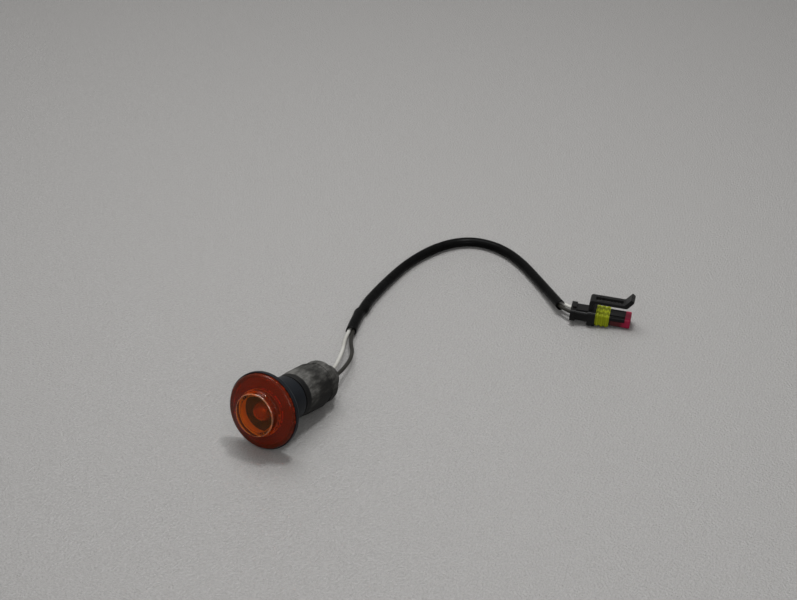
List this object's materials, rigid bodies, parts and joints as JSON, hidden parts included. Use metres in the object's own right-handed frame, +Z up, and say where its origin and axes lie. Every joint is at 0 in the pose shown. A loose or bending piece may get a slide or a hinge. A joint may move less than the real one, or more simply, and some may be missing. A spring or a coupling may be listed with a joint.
{
  "type": "vehicle indicator lamp",
  "caption": "Small round amber side lamp with a black flange and barrel, a grey rubber boot, and a short sleeved lead ending in a sealed plug with a latch.",
  "frame": {"origin": "on the surface that the lamp lies on, under the middle of the lamp's own box, without its lead and plug", "axes": "+Z up from the surface, -Y the way the lens looks, the lamp's length along Y"},
  "size_m": [0.151, 0.2642, 0.0417],
  "materials": {
    "amber_lens": "clear gloss",
    "body_black": "satin",
    "foam_black": "matte",
    "boot_rubber": "dusty matte",
    "bulb_clear": "clear",
    "tungsten": "drawn wire",
    "holder_plastic": "matte",
    "contact_brass": "plain",
    "wire_white": "satin",
    "wire_black": "satin",
    "sleeve_black": "soft gloss",
    "plug_black": "satin",
    "seal_green": "matte",
    "lock_red": "satin"
  },
  "bodies": {
    "root": {"lens": "amber_lens", "lamp_body": "body_black", "panel_seal": "foam_black", "bulb_glass": "bulb_clear", "bulb_filament": "tungsten", "bulb_holder": "holder_plastic", "contact_left": "contact_brass", "contact_right": "contact_brass", "boot": "boot_rubber", "wire_white": "wire_white", "wire_black": "wire_black", "sleeve": "sleeve_black", "plug_housing": "plug_black", "interface_seal": "seal_green", "secondary_lock": "lock_red", "terminal_left": "contact_brass", "terminal_right": "contact_brass", "wire_seal_left": "seal_green", "wire_seal_right": "seal_green"}
  },
  "joints": []
}
